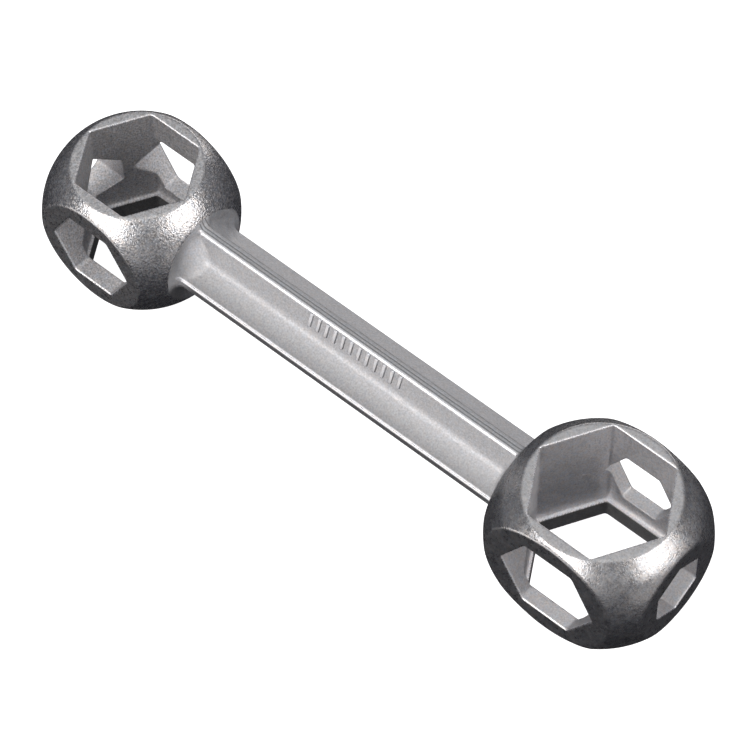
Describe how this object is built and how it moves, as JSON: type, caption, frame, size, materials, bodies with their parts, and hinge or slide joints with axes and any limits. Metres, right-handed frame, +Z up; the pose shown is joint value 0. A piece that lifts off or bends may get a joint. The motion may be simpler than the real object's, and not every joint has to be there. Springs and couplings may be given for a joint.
{
  "type": "multi-size hexagon ball spanner",
  "caption": "Pocket hexagon spanner: hollow ball heads with hexagon sockets of graded sizes in their faces, joined by a fluted bar handle.",
  "frame": {"origin": "on the surface the spanner rests on, under the middle of its whole length", "axes": "+X along the handle towards the large head, +Z up through the 15 mm and 13 mm sockets, -Y towards the 11 mm and 10 mm sockets"},
  "size_m": [0.0896, 0.0186, 0.0175],
  "materials": {
    "head_casting": "satin plated casting with a fine blasted grain",
    "handle_casting": "satin plated casting, smoother than the heads"
  },
  "bodies": {
    "root": {"large_socket_head": "head_casting", "small_socket_head": "head_casting", "fluted_handle": "handle_casting", "size_mark": "handle_casting"}
  },
  "joints": []
}
